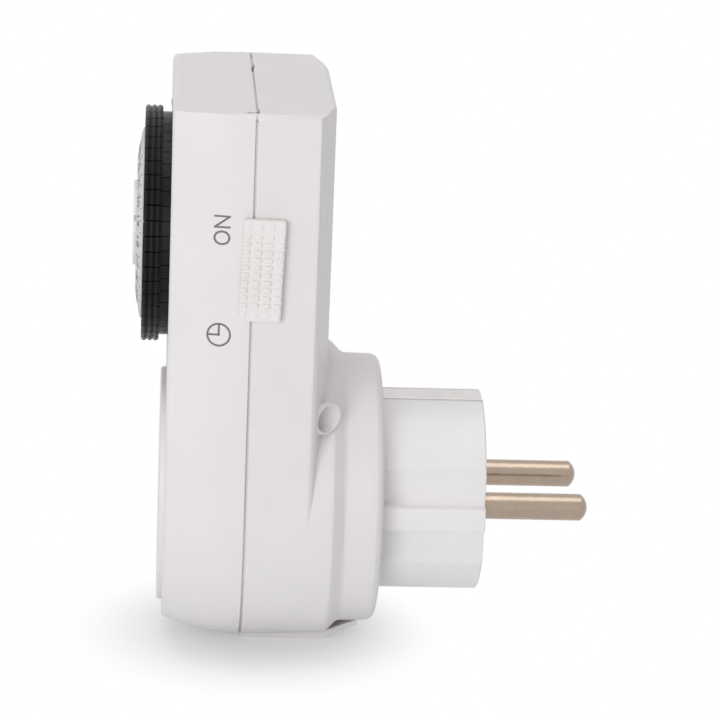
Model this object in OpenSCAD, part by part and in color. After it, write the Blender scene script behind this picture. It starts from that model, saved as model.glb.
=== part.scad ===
// Plug-in timer switch: a 24-hour segment dial above a socket outlet, with a round
// two-pin earthed plug on the back and an override selector on the right side.
// Millimetres. The origin is the centre of the plug's end face, on the plug's axis.
// +Y points into the wall, +Z is up, and the selector is on the +X side.
// Inside the modules, Y is counted from the seam between the shells (see at_seam).

/* [Housing] */
// Width of the housing at the seam, and twice the radius of its round bottom
body_w = 54; // [53.6:0.2:56]
// Height of the dial's axis above the plug's axis
dial_rise = 48.4; // [48.2:0.2:52]
// Height of the housing's top above the dial's axis
top_rise = 25.9; // [25.4:0.1:30]
// Depth of the front shell, from the seam to its face
front_depth = 14.1; // [13.8:0.1:14.8]
// Depth of the rear shell, from the seam to its flat back
back_depth = 13.9; // [13.6:0.1:15]
// Wall thickness of both shells
wall = 2; // [1.7:0.1:2.1]
// Radius of the bow of the front shell's sides
side_bow_r = 33; // [31:1:45]
// Rounding of the front shell's front edge
front_edge_r = 0.9; // [0.3:0.1:1.2]
// Radius of the two top corners
top_corner_r = 1.4; // [0.6:0.1:2.4]
// Width of the flat part of the back, between the chamfers
back_flat_w = 30.6; // [28:0.2:36]
// Depth of the back's side chamfers
back_chamfer = 2.4; // [1.8:0.1:2.6]
// Gap that shows as the seam line
seam_gap = 0.4; // [0.2:0.1:0.5]
// Width of the foot under the rear shell
foot_w = 14; // [12:0.5:18]
// Length of the foot's flat, from the seam
foot_l = 15.2; // [14.8:0.1:16]
// Length of the foot's slanting tail
foot_tail = 6.3; // [5.4:0.1:6.8]
// Thickness of the foot's tail
foot_t = 0.9; // [0.7:0.1:1.2]

/* [Plug] */
// Diameter of the plug's round body
plug_d = 36.2; // [36:0.1:37.2]
// Length of the plug's body behind the flange
plug_l = 18.5; // [17.6:0.1:20]
// Thickness of the plug's round wall
plug_wall = 2; // [1.6:0.1:2.1]
// Thickness of the plug's end, which carries the pins
plug_floor = 2.5; // [2:0.1:3.2]
// Diameter of the flange around the plug
flange_d = 48.4; // [47.6:0.1:49]
// Height of the flange's face above the flat back
flange_h = 10.4; // [10.2:0.1:11.4]
// Diameter of the two contact pins
pin_d = 4.8; // [4.6:0.05:4.9]
// Length of the pins beyond the plug's end face
pin_l = 19; // [18:0.1:20]
// Distance between the pins, and between the outlet's holes
pin_pitch = 19; // [18.6:0.1:19.4]
// Width of the earth strips
earth_w = 5.8; // [5:0.2:6.6]
// Thickness of the earth strips
earth_t = 0.6; // [0.4:0.05:0.8]
// How far the earth strips lie below the plug's round side
strip_sink = 0.25; // [0.2:0.05:0.5]

/* [Outlet] */
// Room round a plug of the same size in the outlet's recess
plug_room = 1.5; // [1.4:0.05:1.7]
// Depth of the outlet's recess, from its rim to its floor
recess_depth = 17.5; // [17.2:0.1:17.8]
// Thickness of the recess's wall
rim_wall = 1.4; // [1.2:0.1:1.6]
// Height of the recess's rim in front of the housing's face
rim_rise = 1; // [0.6:0.1:1.2]
// Diameter of the outlet's two pin holes
outlet_hole_d = 5.5; // [5.2:0.1:5.8]
// Thickness of the outlet's floor
base_t = 2.5; // [2.2:0.1:2.6]
// Thickness of the child-safety shutter
shutter_t = 1.2; // [0.9:0.1:1.3]
// Angle through which the shutter turns to uncover the holes
shutter_turn = 40; // [38:1:44]

/* [Dial] */
// Diameter across the tappets' heads
dial_d = 41.7; // [40.9:0.1:41.8]
// Diameter across the tappets' legs
leg_d = 39.4; // [39.2:0.1:39.6]
// Number of tappets, one for each half hour
tappet_count = 48; // [48, 96]
// Travel of a tappet when it is pressed
tappet_travel = 1.5; // [1.3:0.1:1.6]
// Height of a tappet's head
head_h = 3.1; // [2.6:0.1:3.6]
// Diameter of the dial's printed disc
disc_d = 33.6; // [32:0.2:33.6]
// Diameter of the dial's middle cap
cap_d = 15; // [12:0.5:18]

/* [Gears] */
// Module of all the gear teeth
gear_module = 0.5; // [0.48:0.01:0.5]
// Teeth of the dial's gear
dial_teeth = 64; // [64]
// Teeth of the two pinions
pinion_teeth = 12; // [12]
// Teeth of the idler's wheel
wheel_teeth = 36; // [36]
// Thickness of the dial's gear
gear_t = 1.6; // [1.4:0.1:1.7]
// Thickness of the idler's wheel
wheel_t = 1.4; // [1.2:0.1:1.5]
// Play between meshing teeth
backlash = 0.12; // [0.1:0.01:0.16]

/* [Movement] */
// Thickness of the plate that carries the movement
plate_t = 1.5; // [1.2:0.1:1.6]
// Diameter of the motor
motor_d = 29; // [26:0.5:29.5]
// Height of the motor, with its lid
motor_h = 12.2; // [10:0.1:12.6]
// Diameter of the dial's arbor
arbor_d = 5; // [4:0.1:6]
// Diameter of the idler's arbor and of the lever's pin
pin_small_d = 2; // [1.6:0.1:2.1]
// Clearance of a shaft in its bore, on the radius
run_clear = 0.06; // [0.04:0.01:0.09]

/* [Selector] */
// Length of the selector's button
button_l = 17.8; // [17.6:0.1:20]
// Width of the selector's button
button_w = 7.2; // [6.6:0.1:8]
// Height of the selector's button above the side
button_h = 1.75; // [1.4:0.05:2.4]
// Travel of the selector between its two places
selector_travel = 6; // [5:0.1:6]
// Rows of grip bumps on the button
bump_rows = 10; // [6:1:10]
// Columns of grip bumps on the button
bump_columns = 4; // [2:1:4]

/* [Switch] */
// Thickness of the copper bars
bar_t = 0.8; // [0.6:0.05:0.9]
// Width of the copper bars
bar_w = 5; // [4:0.1:5.4]
// Thickness of the contact blade
blade_t = 0.4; // [0.3:0.05:0.5]
// Diameter of the silver contacts
contact_d = 3; // [2.4:0.1:3.4]
// Thickness of the switch lever's arm
lever_t = 1.6; // [1.2:0.1:1.8]
// Diameter of the screws' threads
screw_d = 2.2; // [2:0.1:2.4]

/* [Hidden] */
$fn = 72;
half_w = body_w / 2;
top_z = dial_rise + top_rise;
y_face_front = -front_depth;
y_flange = back_depth + flange_h;
y_plug = y_flange + plug_l;
inner_w = half_w - wall;
touch = 0.01;
cut = 0.5;

// Fine steps of the curved outlines
bow_steps = 8;
edge_steps = 4;
neck_steps = 6;
top_drop = 0.3;
side_draft = 0.4;

// Locating lip of the rear shell, which enters a rebate in the front shell
lip_h = 1.6;
lip_t = wall * 0.4;
lip_inset = wall - lip_t - 0.6;
lip_clear = 0.1;

// Snap windows in the top of the seam
snap_w = 3.6;
snap_t = 0.2;
snap_left = 13.4;
snap_side = 2.9;
snap_places = [-snap_left, half_w - snap_side];

// Round part of the rear shell, around the plug's axis
back_corner_r = 1.25;
neck_step = 0.1;
neck_start = 0.9;
neck_end = 4.1;
neck_r = flange_d / 2 + neck_step;
neck_y0 = back_depth + neck_start;
neck_y1 = back_depth + neck_end;
flange_edge_r = 1.8;
foot_rise = 1;
foot_step = 0.8;
foot_root = 3;
flange_t = 2;
y_flange_inner = y_flange - flange_t;
neck_inner_r = flange_d / 2 - wall;
seat_gap = 0.05;
plug_r = plug_d / 2;
plug_bore_r = plug_r - plug_wall;
plug_edge_r = 0.4;
collar_t = 1.8;
y_collar = y_flange_inner - collar_t;
collar_r = neck_inner_r - 0.2;
collar_wall = 1.6;
groove_side = 0.4;
groove_w = earth_w + 2 * groove_side;
strip_out = plug_r - strip_sink;
strip_in = strip_out - earth_t;
slot_clear = 0.1;
groove_wall = 1.5;
groove_rib_w = groove_w + 2 * groove_wall;
groove_rib_z = strip_in - plug_wall;
strip_end_gap = 0.1;
strip_front = -8;
bend_h = 0.9;
bend_start = 3;
bend_top = 4;
bend_end = 6;
guide_w = 4.1;
guide_rise = 0.1;
flat_x = plug_r - 2.1;
flat_step = 0.05;

// Outlet
recess_r = plug_r + plug_room;
rim_r = recess_r + rim_wall;
y_rim = y_face_front - rim_rise;
y_base0 = y_rim + recess_depth;
y_base1 = y_base0 + base_t;
rim_edge_r = 0.5;
guide_rib_w = 4.6;
guide_rib_d = plug_room - guide_rise - 0.2;
guide_rib_l = 12.4;
pin_x = pin_pitch / 2;
shutter_side = 4;
shutter_r = pin_x + shutter_side;
shutter_gap = 0.2;
y_shutter0 = y_base1 + shutter_gap;
y_shutter1 = y_shutter0 + shutter_t;
shutter_pin_r = 3;
shutter_pin_end = 2.3;
shutter_pin_l = shutter_gap + shutter_t + shutter_pin_end;
shutter_hole_r = outlet_hole_d / 2 + 0.25;
spring_wire = 0.36;
spring_room = 0.5;
shutter_spring_turns = 3;
shutter_spring_l = 2.1;

// Contact clips and the frame that they stand on
clip_room = 0.9;
y_clip0 = y_shutter1 + clip_room;
clip_t = 0.6;
clip_gap = pin_d - 0.2;
clip_h = 6;
carrier_back = 3.7;
y_carrier0 = back_depth + carrier_back;
carrier_t = 1.4;
y_carrier1 = y_carrier0 + carrier_t;
pin_clear_r = pin_d / 2 + 0.8;

// Pins
pin_r = pin_d / 2;
pin_nose_r = pin_r + 0.53;
pin_nose_steps = 10;
pin_neck_r = pin_r - 0.4;
pin_tail_r = pin_r - 0.9;
pin_shoulder_r = pin_r + 0.4;
pin_shoulder_t = 1;
y_plug_floor = y_plug - plug_floor;
y_shoulder = y_plug_floor - pin_shoulder_t;
hole_clear = 0.02;

// Screw towers that join the shells, beside the outlet
tower_side = 5;
tower_z = 19.6;
tower = [half_w - tower_side, tower_z];
tower_r = 2.8;
tower_end = 2.6;
tower_drop = 4.7;
tower_wall = 0.45;
tower_step = 4.4;
tower_l = back_depth + tower_end;
screw_r = screw_d / 2;
screw_head_r = 1.75;
screw_head_h = 1.4;
screw_pilot_r = screw_r + 0.02;
screw_free_r = screw_r + 0.25;
seat_depth = 5.9;
y_tower_seat = tower_l - seat_depth;
post_r = 2.5;
screw_bite = 8;

// Time mark above the dial
mark_gap = 1.1;
mark_h = 1.1;
mark_t = 0.25;

// Dial, from front to back
dial_at = [0, dial_rise];
head_r = dial_d / 2;
leg_r = leg_d / 2;
opening_r = leg_r + 0.5;
y_leg = y_face_front - tappet_travel - 0.1;
y_head = y_leg - head_h;
leg_l = 5.1;
y_leg_end = y_leg + leg_l;
wide_leg_l = 1.9;
drum_r = disc_d / 2 + 0.1;
tappet_in_r = drum_r + 0.2;
drum_wall = 1.5;
y_drum0 = y_head + 0.2;
web_t = 1.6;
fin_t = 0.5;
fin_l = 1.6;
fin_r = leg_r - 0.2;
tappet_pitch = 360 / tappet_count;
tappet_gap = 0.16;
leg_side = 0.15;
rib_rise = 0.3;
rib_count = 3;
tappet_groups = 12;
per_group = tappet_count / tappet_groups;
dial_hub_r = 6;
cone_r = 12;
cone_h = 1.4;
y_cone = y_drum0 - cone_h;
disc_rim_t = 0.5;
cap_h = 0.55;
y_cap = y_cone - cap_h;
cap_slot_w = 1;
cap_slot_z = 2.5;
cap_slot_t = 0.6;

// Gear train
press_clear = 0.4;
y_gear0 = y_leg_end + tappet_travel + press_clear;
y_gear1 = y_gear0 + gear_t;
y_wheel0 = y_gear1 + 0.3;
y_wheel1 = y_wheel0 + wheel_t;
pressure_angle = 20;
tooth_top = 0.85;
tooth_foot = 1.2;
dial_gear_r = gear_module * dial_teeth / 2;
dial_to_idler = gear_module * (dial_teeth + pinion_teeth) / 2;
idler_to_motor = gear_module * (wheel_teeth + pinion_teeth) / 2;
idler_dir = 248;
motor_dir = 120;
blade_x = pin_x + 0.5;
blade_w = 4;
motor_r = motor_d / 2;
motor_side = 0.7;
idler_at = dial_at + dial_to_idler * [cos(idler_dir), sin(idler_dir)];
shaft_at = idler_at + idler_to_motor * [cos(motor_dir), sin(motor_dir)];
shaft_in = 5.5;
shaft_offset = motor_r - shaft_in;
can_x = blade_x - blade_w / 2 - motor_side - motor_r;
can_z = shaft_at[1] + sqrt(pow(shaft_offset, 2) - pow(can_x - shaft_at[0], 2));
can_at = [can_x, can_z];
washer_r = 11;
washer_t = 0.4;
y_washer = y_gear0 - washer_t;
rub_ring_r = 9.5;
rub_ring_t = 2;
arbor_r = arbor_d / 2;
small_r = pin_small_d / 2;

// Movement plate and motor
plate_gap = 0.5;
y_plate0 = y_wheel1 + plate_gap;
y_plate1 = y_plate0 + plate_t;
slider_t = 1.8;
slider_side = 0.6;
slider_x1 = inner_w - slider_side;
slider_x0 = slider_x1 - slider_t;
lever_gap = 3.2;
lever_x0 = slider_x0 - lever_gap - lever_t;
lever_side = 2.8;
plate_side = 2;
plate_left = -inner_w + plate_side;
plate_right = lever_x0 - lever_side;
plate_drop = 15.4;
plate_top = 1.3;
post_side = 7.5;
plate_low = dial_rise - plate_drop;
plate_high = top_z - wall - plate_top;
plate_post_x = half_w - post_side;
post_drop = 6.8;
left_post_drop = 19.4;
right_post_drop = 21.4;
right_post_side = 3;
plate_posts = [
    [-plate_post_x, top_z - post_drop],
    [plate_post_x, top_z - post_drop],
    [-plate_post_x, dial_rise - left_post_drop],
    [plate_right - right_post_side, dial_rise - right_post_drop],
];
bridge_h = 7;
bridge_drop = post_drop + bridge_h / 2;
tongue_side = 4;
tongue_drop = 5.6;
tongue_h = 8.6;
plate_post_r = 2.2;
plate_screw_r = 1.1;
plate_head_r = 2.1;
plate_head_h = 1.2;
plate_screw_l = 4.2;
ear_r = 3.5;
shoulder_r = 4;
lid_t = 1;
can_t = 0.6;
coil_in_r = 8;
coil_gap = 0.6;
shaft_r = 0.8;
motor_ears = [45, 225];
motor_ear_reach = 1.7;
motor_ear_x = motor_r + motor_ear_reach;
motor_ear_r = 2;
motor_neck = 1.6;
lid_lap = 2;
idler_boss_r = 5;
motor_screw_r = 0.8;
motor_head_r = 1.5;
motor_head_h = 1;

// Selector: button outside, slider inside, joined by a stem through a slot
button_drop = 0.9;
button_z = dial_rise - button_drop;
button_gap = 0.12;
button_y0 = -1.9;
button_edge = 0.4;
bump_pitch_z = 1.33;
bump_pitch_y = button_w / (bump_columns - 0.25);
bump_l = 1.4;
bump_w = 0.75;
bump_h = 0.25;
stem_w = 2.7;
stem_l = 4.6;
stem_y0 = seam_gap;
slot_side = 0.3;
slider_y0 = -4.4;
slider_y1 = 6.5;
slider_down = 7.3;
slider_up = 7.2;
slider_z0 = button_z - slider_down;
slider_z1 = button_z + slider_up;

// Switch lever: a pivot pin along X, a nose behind the tappets, a pad that the
// slider's wedge pushes, and a finger that closes the contact blade
lever_back_set = 3.4;
lever_drop = 18.4;
lever_y = y_plate1 + lever_back_set;
lever_z = dial_rise - lever_drop;
lever_hub_r = 2.5;
lever_fore = 0.6;
lever_aft = 1.5;
lever_rise = 1.2;
lever_front = lever_y - lever_fore;
lever_back = lever_y + lever_aft;
lever_top = dial_rise + lever_rise;
nose_w = 1.4;
nose_h = 2.4;
nose_clear = 0.5;
y_nose = y_leg_end + tappet_travel + nose_clear;
pad_rise = 14;
pad_z = lever_z + pad_rise;
pad_r = 0.8;
pad_end = 1.1;
pad_l = slider_x0 - pad_end - lever_x0;
wedge_slope = 0.2273;
wedge_side = 0.2;
wedge_x0 = lever_x0 + lever_t + wedge_side;
wedge_low = 1.2;
wedge_start = 0.3;
wedge_l = 7.2;
wedge_clear = 0.15;
wedge_t = 2.6;
finger_rise = 8;
finger_z = lever_z + finger_rise;
finger_h = 2;
finger_t = 1.6;
ear_t = 1.2;
ear_gap = 0.4;
ear_back = 1.6;
ear_half_h = 2.5;

// Contacts and bars
contact_r = contact_d / 2;
fixed_h = 1;
moving_h = 0.8;
y_blade1 = y_clip0 - fixed_h - moving_h;
y_blade0 = y_blade1 - blade_t;
blade_tab_h = 4.5;
blade_z0 = lever_z - blade_tab_h;
contact_rise = 14;
contact_z = lever_z + contact_rise;
contact_rim = 0.5;
contact_edge = contact_r + contact_rim;
finger_clear = 0.1;
bar_room = 0.3502;
run_z = sqrt(pow(plug_bore_r - bar_room, 2) - pow(pin_x + bar_w / 2, 2)) - bar_t;
live_back = 2.2;
y_live_up = y_clip0 + live_back;
load_x0 = pin_x + clip_gap / 2 + clip_t;
load_w = 4;

// Lever spring, between the lever and a peg on the rear shell
lever_spring_r = 1.3;
lever_spring_side = 0.9;
lever_spring_rise = 0.8;
lever_spring_x = lever_x0 + lever_spring_side;
lever_spring_z = contact_z + contact_edge + lever_spring_r + lever_spring_rise;
lever_spring_turns = 6;
lever_spring_end = 3.1;
peg_r = 0.8;
peg_room = 8.2;
peg_l = 2;

hours = ["00", "02", "04", "06", "08", "10", "12", "14", "16", "18", "20", "22"];

// ---- Ways to place and shape things ----

// Puts what is drawn about the seam where it belongs in the part's own frame
module at_seam() translate([0, -y_plug, 0]) children();

// Moves a shape to a place [x, z] on the front view
module at(place) translate([place[0], 0, place[1]]) children();

// Extrudes a front view, drawn in X and Z, from y0 to y1
module slab(y0, y1) translate([0, y1, 0]) rotate([90, 0, 0]) linear_extrude(y1 - y0) children();

// Extrudes a side view, drawn in Y and Z, from x0 to x1
module side(x0, x1) translate([x0, 0, 0]) rotate([90, 0, 90]) linear_extrude(x1 - x0) children();

// Turns a profile, drawn in radius and Y, about the Y axis
module turned(angle = 360) rotate([-90, 0, 0]) rotate_extrude(angle = angle) children();

module disc(r, y0, y1) translate([0, y0, 0]) rotate([-90, 0, 0]) cylinder(r = r, h = y1 - y0);

module ring(r_out, r_in, y0, y1) difference() {
    disc(r_out, y0, y1);
    disc(r_in, y0 - cut, y1 + cut);
}

module rod_x(r, x0, x1, y, z) translate([x0, y, z]) rotate([0, 90, 0]) cylinder(r = r, h = x1 - x0);

// A block between two corners
module block(a, b) translate(a) cube(b - a);

// Draws its children on both sides of the X = 0 plane
module both_sides() {
    children();
    mirror([1, 0, 0]) children();
}

// A round wire wound about the Y axis, from y0 to y1, as one closed tube
module coil(r, wire, turns, y0, y1) {
    sides = 6;
    per_turn = 16;
    rings = turns * per_turn;
    points = [for (i = [0:rings]) for (j = [0:sides - 1])
        let (a = 360 * i / per_turn, b = 360 * j / sides, rr = r + wire / 2 * cos(b))
        [rr * cos(a), y0 + wire / 2 + (y1 - y0 - wire) * i / rings + wire / 2 * sin(b), rr * sin(a)]];
    walls = [for (i = [0:rings - 1]) for (j = [0:sides - 1])
        let (k = (j + 1) % sides)
        [i * sides + j, i * sides + k, (i + 1) * sides + k, (i + 1) * sides + j]];
    first = [for (j = [sides - 1:-1:0]) j];
    last = [for (j = [0:sides - 1]) rings * sides + j];
    polyhedron(points, concat([first], walls, [last]), convexity = 10);
}

// ---- Gear teeth ----

function involute(a) = tan(a) * 180 / PI - a;

// Half the angle that a tooth fills at radius r
function tooth_half(r, teeth) =
    let (pitch_r = gear_module * teeth / 2, base_r = pitch_r * cos(pressure_angle))
    90 / teeth - backlash * 45 / (PI * pitch_r)
    + involute(pressure_angle) - involute(acos(min(1, base_r / r)));

// The radii at which a tooth's flank has a point
function flank_radii(teeth) =
    let (pitch_r = gear_module * teeth / 2, base_r = pitch_r * cos(pressure_angle),
         root_r = pitch_r - tooth_foot * gear_module, tip_r = pitch_r + tooth_top * gear_module)
    base_r > root_r ? [root_r, base_r, pitch_r, tip_r] : [root_r, pitch_r, tip_r];

// A gear's outline, with a tooth centred on the direction turn
module gear_outline(teeth, turn = 0) {
    radii = flank_radii(teeth);
    n = len(radii);
    polygon([for (k = [0:teeth - 1]) for (j = [0:2 * n - 1])
        let (rising = j < n, r = radii[rising ? j : 2 * n - 1 - j],
             h = tooth_half(r, teeth), a = turn + 360 * k / teeth + (rising ? -h : h))
        r * [cos(a), sin(a)]]);
}

// The direction of a tooth of a follower that meets a gear's teeth along dir
function mesh_turn(dir, teeth, turn, follower_teeth) =
    let (u = (dir - turn) * teeth / 360)
    dir + 180 - (0.5 - u) * 360 / follower_teeth;

idler_turn = mesh_turn(idler_dir, dial_teeth, 0, pinion_teeth);
motor_turn = mesh_turn(motor_dir, wheel_teeth, idler_turn, pinion_teeth);

// ---- Shells ----

function bow_x(y, inset) = half_w - inset - side_bow_r + sqrt(side_bow_r * side_bow_r - y * y);

// Front view of the housing, a rectangle on a half circle
module outline(inset) {
    w = half_w - inset;
    c = max(top_corner_r - inset, 0);
    circle(r = w);
    translate([-w, 0]) square([2 * w, top_z - inset - c]);
    translate([-w + c, 0]) square([2 * (w - c), top_z - inset]);
    if (c > 0) for (s = [-1, 1]) translate([s * (w - c), top_z - c]) circle(r = c);
}

// Half of the front shell's plan, in X and Y
module bow_plan(inset) {
    y1 = y_face_front + inset;
    e = max(front_edge_r - inset, 0);
    ye = y1 + e;
    polygon(concat(
        [[0, 0]],
        [for (i = [0:bow_steps]) [bow_x(ye * i / bow_steps, inset), ye * i / bow_steps]],
        e == 0 ? [] : [for (i = [1:edge_steps]) let (a = 90 * i / edge_steps)
            [bow_x(ye, inset) - e * (1 - cos(a)), ye - e * sin(a)]],
        [[0, y1]]));
}

// Side view of the front shell, with its top sloping a little
module top_slope(inset) {
    y1 = y_face_front + inset;
    e = max(front_edge_r - inset, 0);
    ye = y1 + e;
    z = top_z - inset;
    polygon(concat(
        [[0, -half_w], [0, z]],
        [for (i = [0:edge_steps]) let (a = e == 0 ? 0 : 90 * i / edge_steps)
            [ye - e * sin(a), z - top_drop - e * (1 - cos(a))]],
        [[y1, -half_w]]));
}

module front_form(inset, y_back) intersection() {
    slab(y_face_front + inset, y_back) outline(inset);
    union() {
        turned() bow_plan(inset);
        linear_extrude(top_z) {
            bow_plan(inset);
            mirror([1, 0]) bow_plan(inset);
        }
    }
    side(-half_w, half_w) top_slope(inset);
}

module front_shell() color("WhiteSmoke") at_seam() {
    difference() {
        union() {
            difference() {
                front_form(0, -seam_gap / 2);
                front_form(wall, 0);
                slab(-lip_h - lip_clear, 0) outline(lip_inset - lip_clear);
            }
            turned() rim_profile();
            intersection() {
                front_form(touch, -seam_gap / 2);
                front_posts();
            }
        }
        disc(recess_r, y_rim - cut, y_base0 + cut);
        at(dial_at) disc(opening_r, y_face_front - cut, y_face_front + wall + cut);
        for (p = plate_posts) at(p) disc(plate_screw_r + hole_clear, y_plate1 - plate_screw_l - cut, 0);
        both_sides() at(tower) disc(screw_pilot_r, y_tower_seat - screw_l() - cut, 0);
    }
    both_sides() guide_rib();
    pointer_mark();
}

// The recess's wall, from the rim in front of the face to the outlet's floor
module rim_profile() {
    e = rim_edge_r;
    polygon(concat(
        [[recess_r - touch, y_base0], [rim_r, y_base0]],
        [for (i = [0:edge_steps]) let (a = 90 * i / edge_steps)
            [rim_r - e * (1 - cos(a)), y_rim + e * (1 - sin(a))]],
        [[recess_r - touch, y_rim]]));
}

// Posts for the movement plate and for the housing screws
module front_posts() {
    for (p = plate_posts) at(p) disc(plate_post_r, y_face_front, y_plate0);
    both_sides() at(tower) disc(post_r, y_face_front, -seam_gap / 2);
}

// Guide rib in the recess, which enters a plug's side groove
module guide_rib() block(
    [recess_r - guide_rib_d, y_base0 - guide_rib_l, -guide_rib_w / 2],
    [recess_r + rim_wall / 2, y_base0, guide_rib_w / 2]);

// Time mark above the dial
module pointer_mark() translate([0, 0, dial_rise + opening_r + mark_gap])
    slab(y_face_front - mark_t, y_face_front + touch)
        polygon([[0, 0], [mark_h * 0.7, mark_h], [-mark_h * 0.7, mark_h]]);

// Plan of the rear shell's upper part, in X and Y
module back_plan(inset) {
    w = half_w - inset;
    y1 = back_depth - inset;
    ys = y1 - back_chamfer;
    xs = w - side_draft * ys / neck_y0;
    f = back_flat_w / 2 - inset * 0.2;
    r = max(back_corner_r - inset, 0);
    intersection() {
        offset(r = r) offset(delta = -r)
            polygon([[-w, -2 * r - 1], [w, -2 * r - 1], [w, 0], [xs, ys], [f, y1], [-f, y1], [-xs, ys], [-w, 0]]);
        translate([-half_w, 0]) square([body_w, back_depth]);
    }
}

// Side view of the rear shell's top, with its rounded rear edge
module top_back(inset) {
    z = top_z - inset;
    y1 = back_depth - inset;
    e = max(1 - inset, 0);
    polygon(concat(
        [[0, 0], [0, z]],
        [for (i = [0:edge_steps]) let (a = e == 0 ? 0 : 90 * i / edge_steps)
            [y1 - e * (1 - sin(a)), z - top_drop - e * (1 - cos(a))]],
        [[y1, 0]]));
}

module back_form() intersection() {
    slab(0, back_depth) intersection() {
        outline(0);
        translate([-half_w, 0]) square([body_w, top_z]);
    }
    linear_extrude(top_z) back_plan(0);
    side(-half_w, half_w) top_back(0);
}

// The round lower part: housing radius, S curve down to the neck, then the flange
module round_profile() {
    r0 = half_w - side_draft;
    e = flange_edge_r;
    rc = flange_d / 2 - e;
    polygon(concat(
        [[0, 0], [half_w, 0]],
        [for (i = [0:neck_steps]) let (t = i / neck_steps)
            [r0 + (neck_r - r0) * (1 - cos(180 * t)) / 2, neck_y0 + (neck_y1 - neck_y0) * t]],
        [for (i = [0:edge_steps]) let (a = 90 * i / edge_steps)
            [rc + e * cos(a), y_flange - e + e * sin(a)]],
        [[0, y_flange]]));
}

module back_cavity() {
    intersection() {
        slab(-touch, back_depth - wall) intersection() {
            outline(wall);
            translate([-half_w, 0]) square([body_w, top_z]);
        }
        linear_extrude(top_z) translate([0, -touch]) back_plan(wall);
    }
    turned() polygon([
        [0, -touch], [inner_w, -touch], [inner_w - side_draft, back_depth - wall],
        [neck_inner_r, back_depth], [neck_inner_r, y_flange_inner], [0, y_flange_inner]]);
}

module rear_shell() color("WhiteSmoke") at_seam() {
    difference() {
        union() {
            intersection() {
                union() {
                    back_form();
                    turned() round_profile();
                    foot();
                }
                block([-half_w, seam_gap / 2, -half_w - 1], [half_w, y_plug, top_z]);
            }
            both_sides() at(tower) screw_tower();
        }
        difference() {
            back_cavity();
            both_sides() at(tower) disc(tower_r, -cut, tower_l);
            at([lever_spring_x, lever_spring_z]) disc(peg_r, y_peg(), back_depth);
        }
        disc(plug_r + seat_gap, y_flange_inner - cut, y_flange + cut);
        both_sides() at(tower) {
            disc(tower_r - tower_wall, tower_l - tower_step, tower_l + cut);
            disc(screw_head_r + 0.15, y_tower_seat, tower_l);
            disc(screw_free_r, -cut, y_tower_seat + cut);
        }
        selector_slot();
        snap_windows();
    }
    difference() {
        slab(-lip_h, seam_gap / 2 + touch) difference() {
            outline(lip_inset);
            outline(lip_inset + lip_t);
        }
        selector_slot();
        snap_windows();
    }
}

// A screw tower, whose end slopes down to the housing's side
module screw_tower() intersection() {
    disc(tower_r, seam_gap / 2, tower_l);
    translate([0, 0, -tower_r]) linear_extrude(2 * tower_r) polygon([
        [-tower_r, 0], [tower_r, 0], [tower_r, tower_l - tower_drop], [-tower_r, tower_l]]);
}

// Windows for the front shell's two snap hooks, on the top of the seam
module snap_windows() for (x = snap_places) block(
    [x - snap_w / 2, -lip_h - cut, top_z - wall - cut], [x + snap_w / 2, seam_gap / 2 + snap_t, top_z + cut]);

function y_peg() = lever_back + peg_room;

// Slot for the selector's stem, open to the seam
module selector_slot() block(
    [inner_w - 1, -lip_h - cut, button_z - selector_travel - stem_l / 2 - slot_side],
    [half_w + 1, stem_y0 + stem_w + slot_side, button_z + stem_l / 2 + slot_side]);

// Foot: a flat pad that continues as a thin plate, slanting up under the neck
module foot() {
    y1 = foot_l;
    y2 = y1 + foot_tail;
    top = half_w - flange_d / 2 + foot_rise;
    side(-foot_w / 2, foot_w / 2) polygon([
        [seam_gap / 2, -half_w], [y1, -half_w], [y2, -half_w + top - foot_t], [y2, -half_w + top],
        [y1 + foot_step, -half_w + foot_t + foot_step], [neck_y0, -half_w + foot_root],
        [seam_gap / 2, -half_w + foot_root]]);
}

// ---- Outlet ----

module earth_slots(y0, y1) for (s = [0, 1]) mirror([0, 0, s]) block(
    [-earth_w / 2 - slot_clear, y0, strip_in - slot_clear],
    [earth_w / 2 + slot_clear, y1, strip_out + slot_clear]);

module socket_base() color("WhiteSmoke") at_seam() {
    difference() {
        disc(rim_r, y_base0, y_base1);
        both_sides() at([pin_x, 0]) disc(outlet_hole_d / 2, y_base0 - cut, y_base1 + cut);
        earth_slots(y_base0 - cut, y_base1 + cut);
    }
    disc(shutter_pin_r, y_base1 - touch, y_base1 + shutter_pin_l);
}

module shutter() color("Gainsboro") at_seam() difference() {
    disc(shutter_r, y_shutter0, y_shutter1);
    disc(shutter_pin_r + run_clear, y_shutter0 - cut, y_shutter1 + cut);
    for (s = [0, 180]) rotate([0, -shutter_turn - s, 0])
        at([pin_x, 0]) disc(shutter_hole_r, y_shutter0 - cut, y_shutter1 + cut);
}

module shutter_spring() color("Silver") at_seam()
    coil(shutter_pin_r + spring_room + spring_wire / 2, spring_wire, shutter_spring_turns,
        y_shutter1 + shutter_gap, y_shutter1 + shutter_spring_l);

module contact_frame() color("DimGray") at_seam() difference() {
    disc(collar_r, y_carrier0, y_carrier1);
    earth_slots(y_carrier0 - cut, y_carrier1 + cut);
    both_sides() {
        at([pin_x, 0]) disc(pin_clear_r, y_carrier0 - cut, y_carrier1 + cut);
        block([pin_x - bar_w / 2 - 0.3, y_carrier0 - cut, run_z - 0.3],
              [pin_x + bar_w / 2 + 0.3, y_carrier1 + cut, run_z + bar_t + 0.3]);
    }
}

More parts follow.
